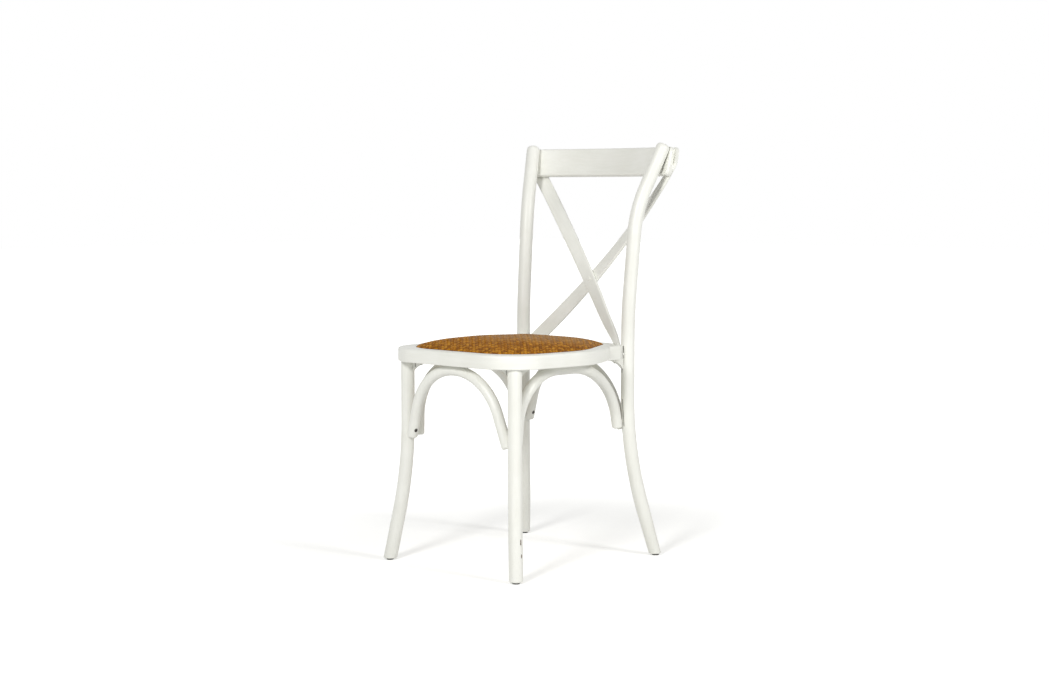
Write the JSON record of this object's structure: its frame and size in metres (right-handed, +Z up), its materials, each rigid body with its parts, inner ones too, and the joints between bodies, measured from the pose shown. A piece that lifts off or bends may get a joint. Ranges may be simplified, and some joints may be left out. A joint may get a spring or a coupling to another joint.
{
  "type": "cross back dining chair",
  "caption": "White painted bentwood dining chair with a crossed back, arched braces under the seat and a woven brown cane seat pad.",
  "frame": {"origin": "on the floor, under the middle of the chair's outer box", "axes": "+Z up, -Y to the front (the sitter looks along -Y), +X to the right as seen from the front"},
  "size_m": [0.43, 0.533, 0.8885],
  "materials": {
    "painted_wood": "off-white satin paint over bent beech, grain faintly showing",
    "woven_cane": "woven brown cane, satin",
    "plywood": "bare",
    "foam": "matte",
    "dark_plastic": "matte",
    "steel": "dark oxidised screws",
    "painted_metal": "painted over with the frame"
  },
  "bodies": {
    "root": {"arch_crown_screws": "steel", "arch_end_screws": "steel", "bracket_screws": "steel", "crest_rail": "painted_wood", "cross_rivet": "painted_metal", "cross_strip_front": "painted_wood", "cross_strip_rear": "painted_wood", "front_arch": "painted_wood", "front_bracket_left": "painted_wood", "front_bracket_right": "painted_wood", "front_dowel_left": "plywood", "front_dowel_right": "plywood", "front_glide_left": "dark_plastic", "front_glide_right": "dark_plastic", "front_leg_left": "painted_wood", "front_leg_right": "painted_wood", "post_bolt_left": "painted_metal", "post_bolt_right": "painted_metal", "rail_screws": "steel", "rear_arch": "painted_wood", "rear_block_left": "painted_wood", "rear_block_right": "painted_wood", "rear_bracket_left": "painted_wood", "rear_bracket_right": "painted_wood", "rear_glide_left": "dark_plastic", "rear_glide_right": "dark_plastic", "rear_post_left": "painted_wood", "rear_post_right": "painted_wood", "seat_board": "plywood", "seat_foam": "foam", "seat_ring": "painted_wood", "seat_screws": "steel", "side_arch_left": "painted_wood", "side_arch_right": "painted_wood", "strip_screws": "steel", "woven_seat": "woven_cane"}
  },
  "joints": []
}
